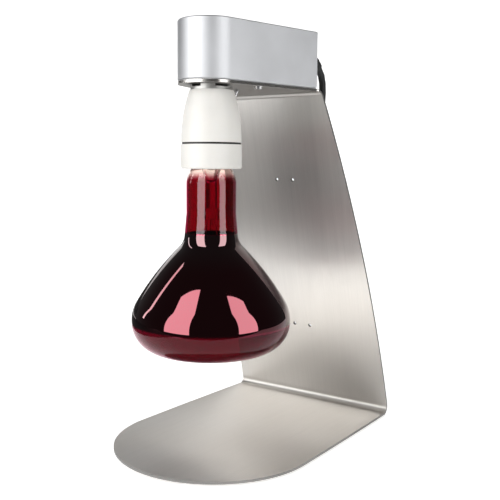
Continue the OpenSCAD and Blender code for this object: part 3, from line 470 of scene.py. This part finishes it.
def lathe(name, profile, steps, material, centre=(0, 0, 0)):
    """A surface of revolution about the vertical through centre. profile is (radius, height) in mm, and a
    radius of 0 is a pole."""
    bm = bmesh.new()
    cx, cy, cz = centre
    turns = [2 * math.pi * i / steps for i in range(steps)]
    rings = []
    for r, z in ((r * MM, z * MM) for r, z in profile):
        if r < 1e-7:
            rings.append([bm.verts.new((cx, cy, cz + z))])
        else:
            rings.append([bm.verts.new((cx + r * math.cos(a), cy + r * math.sin(a), cz + z)) for a in turns])
    for a, b in zip(rings, rings[1:]):
        bridge(bm, a, b)
    bmesh.ops.recalc_face_normals(bm, faces=bm.faces)
    return finish_mesh(name, bm, material)


def tube(name, path, radii, sides, material):
    """A closed round tube of changing radius along a path in mm, with a frame that doesn't twist."""
    bm = bmesh.new()
    rings = []
    ahead = [(b - a).normalized() for a, b in zip(path, path[1:])]
    ahead = [ahead[0]] + [(a + b).normalized() for a, b in zip(ahead, ahead[1:])] + [ahead[-1]]
    side = ahead[0].orthogonal().normalized()
    for p, d, r in zip(path, ahead, radii):
        side = (side - d * side.dot(d)).normalized()
        up = d.cross(side)
        rings.append([bm.verts.new((p + r * (math.cos(t) * side + math.sin(t) * up)) * MM)
                      for t in (2 * math.pi * i / sides for i in range(sides))])
    for a, b in zip(rings, rings[1:]):
        bridge(bm, a, b)
    bm.faces.new(rings[0][::-1])
    bm.faces.new(rings[-1])
    bmesh.ops.recalc_face_normals(bm, faces=bm.faces)
    return finish_mesh(name, bm, material)


# ---------------------------------------------------------------- the bulb
AXIS_Y = -0.0413
WIDEST_Z = 0.1048
GLASS_T = 1.2
# In metres: the mirror coat starts just under the widest ring and ends this far above it, and the ruby layer
# ends this far under the holder's skirt.
MIRROR_RISE = 0.069
PALE_UNDER_SKIRT = 0.0065


def polar(c, r, a):
    return (c[0] + r * math.cos(math.radians(a)), c[1] + r * math.sin(math.radians(a)))


def arc2(c, r, a0, a1, n):
    """n + 1 points on an arc round c, from angle a0 to a1 in degrees."""
    return [polar(c, r, a0 + (a1 - a0) * i / n) for i in range(n + 1)]


def bulb_outline(inset):
    """The bulb's outline as in the source, moved inwards by inset: (radius, height) in mm, measured from the
    widest ring. It runs over the dome, the rim, the shoulder, the flank, the hollow throat, the straight
    neck, the neck's crown and the seal, into the cap."""
    bulb_r, rim_r, dome_drop = 62.5, 24.5, 29.0
    rim_x = bulb_r - rim_r
    rise = (rim_x ** 2 - (dome_drop - rim_r) ** 2) / (2 * (dome_drop - rim_r))
    dome_r = rise + dome_drop
    dome_a = -math.degrees(math.atan2(rise, rim_x))
    shoulder_r, shoulder_a, flank_r, flank_top, throat_r = 30.0, 31.0, 220.0, 58, 14.0
    shoulder = (bulb_r - shoulder_r, 0.0)
    flank = polar(shoulder, shoulder_r - flank_r, shoulder_a)
    flank_a = math.degrees(math.asin((flank_top - flank[1]) / flank_r))
    throat = polar(flank, flank_r + throat_r, flank_a)
    neck_r, neck_rings, crown_r, crown_z = 19.3, (84, 90, 95, 100, 104), 20.0, 107
    seal_r, collet_r = 13.4, 11.3
    drop = math.degrees(math.acos((seal_r - neck_r + crown_r) / crown_r))
    cap_rim_z, widest_z = 229.8, 104.8
    cap_z = cap_rim_z - widest_z
    seal_z = cap_z - 0.3 - inset / 2
    return (arc2((0, rise), dome_r - inset, -90, dome_a, 24)
            + arc2((rim_x, 0), rim_r - inset, dome_a, 0, 24)[1:]
            + arc2(shoulder, shoulder_r - inset, 0, shoulder_a, 12)[1:]
            + arc2(flank, flank_r - inset, shoulder_a, flank_a, 20)[1:]
            + arc2(throat, throat_r + inset, 180 + flank_a, 184, 10)[1:]
            + [(neck_r - inset, z) for z in neck_rings]
            + arc2((neck_r - crown_r, crown_z), crown_r - inset, 0, drop, 12)
            + [(seal_r - inset, seal_z), (collet_r - inset, seal_z), (collet_r - inset, cap_z + 6)])


def bulb():
    """The bulb's glass: one smooth shell with an inner and an outer skin."""
    profile = bulb_outline(0) + bulb_outline(GLASS_T)[::-1]
    mat = ruby_glass(WIDEST_Z - 0.0005, WIDEST_Z + MIRROR_RISE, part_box("holder_skirt")[0].z - PALE_UNDER_SKIRT)
    shell = lathe("bulb_envelope", profile, 128, mat, centre=(0, AXIS_Y, WIDEST_Z))
    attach(shell, "bulb")
    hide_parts("bulb_glass")
    return shell


# ---------------------------------------------------------------- the cord, in mm
# The foot of the panel's front face in Y and Z, the sheet's thickness, and the cord's distance behind it
FOOT_Y, FOOT_Z = 114.366, 9.589
SHEET_T, CORD_BEHIND = 2, 5.6
# The height of the cord's middle where it lies: its radius, the strap's thickness and a gap of 0.1
LIE_Z = 3.6
EXIT = Vector((24, 41.43, 319.8))
RELIEF = [EXIT + Vector((0, a, b)) for a, b in ((2, 0), (9, 0), (16, -0.5), (23, -2), (30, -4.9), (36, -9.2))]
LAND = Vector((20, 159.5, LIE_Z))
COIL_TURNS, COIL_LAYERS, COIL_PITCH = 6.25, 4, 6.65
COIL_SWING = COIL_PITCH * COIL_TURNS / COIL_LAYERS
COIL_OUT = 34.5 + COIL_SWING / 2
COIL_START = LAND + Vector((0, 9, 0))
COIL_C = Vector((COIL_START.x - COIL_OUT, COIL_START.y + 1, 0))
TAIL_START = Vector((COIL_C.x - 6, COIL_C.y + COIL_OUT, LIE_Z + (COIL_LAYERS - 1) * COIL_PITCH))
PLUG_X, PLUG_Z = COIL_C.x - 51, 18.5


def behind_panel(x, z):
    """A point of the cord where it hangs behind the leaning panel."""
    panel_back = FOOT_Y + SHEET_T / math.cos(LEAN) - (z - FOOT_Z) * math.tan(LEAN)
    return Vector((x, panel_back + CORD_BEHIND, z))


def bezier(a, b, c, d, n):
    """n points of a Bezier curve, without its first."""
    out = []
    for i in range(1, n + 1):
        t = i / n
        u = 1 - t
        out.append(u ** 3 * a + 3 * u * u * t * b + 3 * u * t * t * c + t ** 3 * d)
    return out


def free_route():
    """From the relief down behind the panel to the table and on to the coil."""
    end = RELIEF[-1]
    out = (end - RELIEF[-2]).normalized()
    down = Vector((0, math.sin(LEAN), -math.cos(LEAN)))
    high, low = behind_panel(22.5, 143.4), behind_panel(21, 60)
    return ([end, end + 2 * out] + bezier(end + 2 * out, end + 30 * out, high - 100 * down, high, 12)
            + [high.lerp(low, i / 3) for i in (1, 2, 3)]
            + bezier(low, low + 30 * down, LAND - Vector((0, 28, 0)), LAND, 8)
            + [LAND + Vector((0, 5, 0)), COIL_START])


def fold(u):
    """A zigzag: 0 at even numbers and 1 at odd ones."""
    m = u % 2
    return abs(m - (2 if m > 1 else 0))


def climb(u):
    """The layer that the coil is in after u layers: it climbs in the half turn round each reversal."""
    n = math.floor(u + 0.5)
    w = COIL_LAYERS / COIL_TURNS / 4
    d = u - n
    if n < 1 or n >= COIL_LAYERS:
        return min(math.floor(u), COIL_LAYERS - 1)
    if abs(d) >= w:
        return n - 1 if d < 0 else n
    return n - 0.5 + 0.5 * math.sin(math.pi / 2 * d / w)


def coil_route(steps):
    """The coil with steps points a turn: layer after layer the turns spiral in and out."""
    rings = int(COIL_TURNS * steps)
    out = []
    for i in range(rings + 1):
        u = COIL_LAYERS * i / rings
        a = 2 * math.pi * i / steps
        r = COIL_OUT - COIL_SWING * fold(u)
        out.append(COIL_C + Vector((r * math.cos(a), r * math.sin(a), LIE_Z + COIL_PITCH * climb(u))))
    return out


def tail_route():
    """From the coil's top to the plug beside it."""
    back = Vector((1, 0, 0))
    plug_end = Vector((PLUG_X, TAIL_START.y, PLUG_Z))
    start = TAIL_START - 2 * back
    curve = bezier(start, start - 20 * back, plug_end + 22 * back, plug_end + 2 * back, 6)
    return [TAIL_START, start] + curve + [plug_end]


def poly_curve(name, points, radius, material, sides):
    """A round curve object through points in metres."""
    data = bpy.data.curves.new(name, "CURVE")
    data.dimensions = "3D"
    data.bevel_depth = radius
    data.bevel_resolution = sides
    data.use_fill_caps = True
    s = data.splines.new("POLY")
    s.points.add(len(points) - 1)
    for i, p in enumerate(points):
        s.points[i].co = (*p, 1)
    s.use_smooth = True
    data.materials.append(material)
    obj = bpy.data.objects.new(name, data)
    scene.collection.objects.link(obj)
    return obj


def clean(points, least=0.3):
    """Drops points that lie on top of the one before."""
    out = [points[0]]
    for p in points[1:]:
        if (p - out[-1]).length > least:
            out.append(p)
    return out


def cord(mats, with_pieces):
    """The whole free cord, from the relief to the plug, as one curve."""
    points = clean(free_route() + coil_route(36)[1:] + tail_route()[1:])
    line = poly_curve("mains_cord", [p * MM for p in points], 0.003, mats["black_pvc"], sides=5)
    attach(line, "stand")
    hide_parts("cord_free", "cord_coil", "cord_tail")


def relief(mats):
    """The tapered relief with its ring-shaped grooves, thickest at the bush and thinnest at the cord."""
    ends = (5.8, 5.4, 5.1, 4.8, 4.5, 4.1)
    steps, skin = 14, 0.06
    groove_start, groove_pitch, groove_depth = 4, 4.2, 0.75
    path, radii = [], []
    last = len(RELIEF) - 2
    for k, (a, b) in enumerate(zip(RELIEF, RELIEF[1:])):
        before = (a - RELIEF[k - 1]) if k else (b - a)
        after = (RELIEF[k + 2] - b) if k < last else (b - a)
        m0, m1 = (before + (b - a)) / 2, (after + (b - a)) / 2
        for i in range(steps + (k == last)):
            t = i / steps
            path.append((2 * t ** 3 - 3 * t ** 2 + 1) * a + (t ** 3 - 2 * t ** 2 + t) * m0
                        + (3 * t ** 2 - 2 * t ** 3) * b + (t ** 3 - t ** 2) * m1)
            radii.append(ends[k] + (ends[k + 1] - ends[k]) * t)
    along = [0.0]
    for p, q in zip(path, path[1:]):
        along.append(along[-1] + (q - p).length)
    for i, d in enumerate(along):
        if groove_start < d < along[-1] - 3:
            turn = 2 * math.pi * (d - groove_start) / groove_pitch + math.pi
            radii[i] -= groove_depth * max(0.0, math.cos(turn)) ** 0.6
        radii[i] -= skin
    radii[0] -= 0.4
    radii[-1] -= 0.5
    piece = tube("cord_relief_ribbed", path, radii, 32, mats["black_pvc"])
    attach(piece, "stand")
    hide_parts("cord_relief")
    return piece


def tie(mats):
    """The strap round the coil: a thin band with rounded corners and softened edges."""
    lo, hi = (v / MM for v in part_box("cord_tie"))
    mid_y, mid_z = (lo.y + hi.y) / 2, (lo.z + hi.z) / 2
    half_y, half_z = (hi.y - lo.y) / 2, (hi.z - lo.z) / 2
    corner, thick, soft = 3.2, 0.48, 0.25
    section = ((lo.x, 0.12), (lo.x + soft, 0.0), (hi.x - soft, 0.0), (hi.x, 0.12),
               (hi.x, thick - 0.1), (hi.x - soft, thick), (lo.x + soft, thick), (lo.x, thick - 0.1))
    corner_steps = 8
    bm = bmesh.new()
    rings = []
    for q, (sy, sz) in enumerate(((1, 1), (-1, 1), (-1, -1), (1, -1))):
        cy, cz = mid_y + sy * (half_y - corner), mid_z + sz * (half_z - corner)
        for k in range(corner_steps + 1):
            a = math.radians(90 * q + 90 * k / corner_steps)
            rings.append([bm.verts.new(Vector((x, cy + (corner - inset) * math.cos(a),
                                               cz + (corner - inset) * math.sin(a))) * MM)
                          for x, inset in section])
    for a, b in zip(rings, rings[1:] + rings[:1]):
        bridge(bm, a, b)
    bmesh.ops.recalc_face_normals(bm, faces=bm.faces)
    strap = finish_mesh("cord_strap", bm, mats["strap"])
    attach(strap, "stand")
    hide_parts("cord_tie")
    return strap


def plug_profile(length, boot, grip, face_r):
    """The plug's outline from the cord to its face: (radius, distance) in mm. The boot has ribs and the grip
    has finger ribs."""
    profile = [(0.0, 0.0), (3.7, 0.0), (4.15, 0.5)]
    boot_ribs, grip_ribs = 6, 7
    step = (boot - 4) / boot_ribs
    for k in range(boot_ribs):
        for t, dip in ((0.0, 0.0), (0.5, 0.0), (0.62, 0.7), (0.88, 0.7), (1.0, 0.0)):
            z = 2 + (boot - 4) * k / boot_ribs + step * t
            profile.append((4.2 + 1.8 * z / boot - dip, z))
    profile += [(5.9, boot - 0.6), (6.3, boot), (8.6, boot + 0.6), (10.2, boot + 1.3), (11.0, boot + 2.4)]
    for k in range(grip_ribs):
        z = boot + 4 + (grip - 10) * k / grip_ribs
        r = 11 + 1.5 * (z - boot) / grip
        profile += [(r - 0.1, z), (r - 0.9, z + 0.5), (r - 0.9, z + 0.9), (r - 0.1, z + 1.4)]
    top = boot + grip
    return profile + [(12.4, top - 4), (13.6, top - 3), (face_r - 1.4, top - 0.2), (face_r - 0.3, top + 0.8),
                      (face_r - 0.02, top + 1.8), (face_r - 0.02, length - 1.2), (face_r - 0.4, length - 0.3),
                      (face_r - 1.3, length), (0.0, length)]


def plug(mats):
    """The plug's body: a ribbed boot, a waisted grip and the flat face, with two notches for the earth
    strips."""
    boot, grip, face, face_r = 26, 22, 21, 18.5
    notch_size = Vector((6, 6.4, face)) * MM
    lo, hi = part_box("plug_body")
    length = hi.x / MM - lo.x / MM
    lay_down = (Matrix.Translation(Vector((PLUG_X, TAIL_START.y, PLUG_Z)) * MM)
                @ Matrix.Rotation(math.radians(-90), 4, "Y"))
    body = lathe("plug_moulded", plug_profile(length, boot, grip, face_r), 72, mats["black_pvc"])
    body.data.transform(lay_down)
    cutters = bmesh.new()
    for side in (-1, 1):
        place = Matrix.Translation(Vector((side * (face_r + 1), 0, length - face + 3 + face / 2)) * MM)
        bmesh.ops.create_cube(cutters, size=1, matrix=place @ Matrix.Diagonal((*notch_size, 1)))
    notch = finish_mesh("notch_cutter", cutters, mats["black_pvc"])
    notch.data.transform(lay_down)
    cut = body.modifiers.new("notches", "BOOLEAN")
    cut.object, cut.operation, cut.solver = notch, "DIFFERENCE", "EXACT"
    bpy.context.view_layer.update()
    done = bpy.data.meshes.new_from_object(body.evaluated_get(bpy.context.evaluated_depsgraph_get()))
    body.modifiers.clear()
    body.data = done
    done.name = "plug_moulded"
    bpy.data.objects.remove(notch)
    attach(body, "stand")
    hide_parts("plug_body")
    return body


# ---------------------------------------------------------------- stage
# The stage's far side lies straight behind the lamp as the camera sees it.
STAGE_TURN = Matrix.Rotation(math.radians(35.2), 4, "Z")
STAGE_X = (-1.25, -0.6, 0, 0.6, 1.25)
NEAR_Y, CURVE_Y, CURVE_R, WALL_TOP = -0.33, 1.2, 0.5, 1.1
# Corners of the two dark cards: one on the floor at the left, and one upright before the backdrop
CARDS = (((-1.25, -0.33, 0.004), (-0.29, -0.33, 0.004), (-0.29, 0.9, 0.004), (-1.25, 0.9, 0.004)),
         ((-1.25, 1.15, 0.0), (1.25, 1.15, 0.0), (1.25, 1.15, 0.27), (-1.25, 1.15, 0.27)))


def stage():
    """A pale table that curves up into a backdrop behind the lamp, and dark cards that only reflections see.
    Past the table's edges the room is as pale."""
    bm = bmesh.new()
    profile = [(NEAR_Y, 0.0), (0.0, 0.0), (CURVE_Y, 0.0)]
    profile += [(CURVE_Y + CURVE_R * math.sin(a), CURVE_R - CURVE_R * math.cos(a))
                for a in (math.radians(d) for d in range(10, 91, 10))]
    profile += [(CURVE_Y + CURVE_R, WALL_TOP)]
    rows = [[bm.verts.new(STAGE_TURN @ Vector((x, y, z))) for x in STAGE_X] for y, z in profile]
    for a, b in zip(rows, rows[1:]):
        for i in range(len(STAGE_X) - 1):
            bm.faces.new((a[i], a[i + 1], b[i + 1], b[i]))
    p = Paint("pale_floor", (0.87, 0.87, 0.87), 0.6, Specular_IOR_Level=0.1, Emission_Strength=0.42)
    p.set("Emission Color", (1, 1, 1, 1))
    cloud = p.noise(p.place(), 3, 2)
    mat = p.feed(Base_Color=p.mix(cloud, (0.86, 0.86, 0.86), (0.88, 0.88, 0.88)))
    finish_mesh("floor", bm, mat)
    cards = bmesh.new()
    for corners in CARDS:
        cards.faces.new([cards.verts.new(STAGE_TURN @ Vector(c)) for c in corners])
    dark = finish_mesh("dark_cards", cards, Paint("card", (0.03, 0.03, 0.03), 0.9).mat)
    dark.visible_camera = dark.visible_diffuse = dark.visible_shadow = dark.visible_transmission = False


# ---------------------------------------------------------------- lights
TO_CAMERA = math.radians(-51.7)
CENTRE = Vector((0, -0.04, 0.16))
SOFTBOX_FAR = 1.15
FILL_Z = 0.44
# Upright softboxes that only the bulb has, as its mirror shows them in the photograph: left and right side,
# each (off, distance), then the lowest and highest point, the radiance and the lean in degrees
GLASS_BOXES = (("glass_left", (-67, 1.13), (-29.5, 0.735), 0.0, 1.37, 12.0, 0),
               ("glass_right", (37, 0.82), (66.5, 1.15), 0.0, 1.30, 11.0, 0),
               ("glass_strip", (-106.5, 1.2), (-110.5, 1.2), 0.22, 1.5, 10.0, -6))
# Softboxes for the head alone, or for all but the head and the bulb: off, size, rise over CENTRE and radiance
METAL_BOXES = (("metal_left", -60, (1.35, 1.45), 0.32, 4.6), ("metal_right", 50, (0.60, 1.3), 0.28, 2.5))
HEAD_BOXES = (("head_left", -52, (1.45, 1.45), 0.32, 2.4), ("head_right", 50, (0.60, 1.3), 0.28, 2.5))
# Fill lights that reflections don't show: off, size and radiance
FILLS = (("fill_left", -47, (0.84, 1.3), 3.3), ("fill_right", 50, (0.62, 1.3), 2.0))
# The room's light of 1 is less by these shares for dull surfaces and for reflections.
LESS_DIFFUSE, LESS_GLOSSY = 0.45, 0.90


def around(off, distance, z):
    """A place round the lamp at height z: off degrees to the right of the camera's side, and that far away."""
    a = TO_CAMERA + math.radians(off)
    return Vector((CENTRE.x + distance * math.cos(a), CENTRE.y + distance * math.sin(a), z))


def area_light(name, matrix, size, radiance, seen=True, lit=True):
    """A softbox of that radiance. seen says whether reflections show it, and lit whether it lights dull
    surfaces."""
    data = bpy.data.lights.new(name, "AREA")
    data.shape = "RECTANGLE"
    data.size, data.size_y = size
    data.energy = radiance * size[0] * size[1] * math.pi
    obj = bpy.data.objects.new(name, data)
    obj.matrix_world = matrix
    obj.visible_glossy = seen
    obj.visible_diffuse = lit
    obj.visible_transmission = lit
    scene.collection.objects.link(obj)
    return obj


def facing(place, target):
    turn = (target - place).to_track_quat("-Z", "Y").to_matrix().to_4x4()
    return Matrix.Translation(place) @ turn


def upright(name, left, right, low, high, radiance, lean):
    """An upright softbox between two places on the floor, each (off, distance), from low to high."""
    a, b = around(*left, 0), around(*right, 0)
    mid = (a + b) / 2
    mid.z = (low + high) / 2
    x, up = (b - a).normalized(), Vector((0, 0, 1))
    z = x.cross(up)
    if z.dot(CENTRE - mid) > 0:
        x, z = -x, -z
    turn = Matrix((x, up, z)).transposed().to_4x4() @ Matrix.Rotation(math.radians(lean), 4, "Z")
    return area_light(name, Matrix.Translation(mid) @ turn, ((b - a).length, high - low), radiance, lit=False)


def only_on(light, pieces, leave_out=False):
    """The light falls on these pieces alone, or on all but these."""
    group = bpy.data.collections.new(light.name + "_group")
    for piece in pieces:
        group.objects.link(piece)
    if leave_out:
        for entry in group.collection_objects:
            entry.light_linking.link_state = "EXCLUDE"
    light.light_linking.receiver_collection = group


def room():
    """A pale room all round, which reflections see as a dark studio."""
    world = bpy.data.worlds.new("studio")
    world.use_nodes = True
    t = world.node_tree
    background = t.nodes["Background"]
    background.inputs["Color"].default_value = (1, 1, 1, 1)
    path = t.nodes.new("ShaderNodeLightPath")
    strength = None
    for source, share in (("Is Diffuse Ray", LESS_DIFFUSE), ("Is Glossy Ray", LESS_GLOSSY)):
        n = t.nodes.new("ShaderNodeMath")
        n.operation = "MULTIPLY_ADD"
        t.links.new(path.outputs[source], n.inputs[0])
        n.inputs[1].default_value = -share
        n.inputs[2].default_value = 1.0
        if strength is not None:
            t.links.new(strength, n.inputs[2])
        strength = n.outputs["Value"]
    t.links.new(strength, background.inputs["Strength"])
    scene.world = world


def lights(glass_piece):
    """Tall softboxes and a pale room. The glass has the softboxes that its mirror shows in the photograph, and
    the metal has weaker ones."""
    head = frame["nodes"]["head_housing"]
    for box in GLASS_BOXES:
        only_on(upright(*box), [glass_piece])
    for boxes, pieces, leave_out in ((METAL_BOXES, [glass_piece, head], True), (HEAD_BOXES, [head], False)):
        for name, off, size, rise, radiance in boxes:
            matrix = facing(around(off, SOFTBOX_FAR, CENTRE.z + rise), CENTRE)
            only_on(area_light(name, matrix, size, radiance, lit=False), pieces, leave_out)
    for name, off, size, radiance in FILLS:
        area_light(name, facing(around(off, SOFTBOX_FAR, FILL_Z), CENTRE), size, radiance, seen=False)
    area_light("overhead", facing(Vector((0, 0.1, 1.6)), Vector((0, 0.1, 0))), (1.2, 1.2), 1.6, seen=False)
    room()


# ---------------------------------------------------------------- the scene
camera()
mats = make_materials()
dress_nodes(mats)
cord(mats, [relief(mats), tie(mats), plug(mats)])
envelope = bulb()
stage()
lights(envelope)
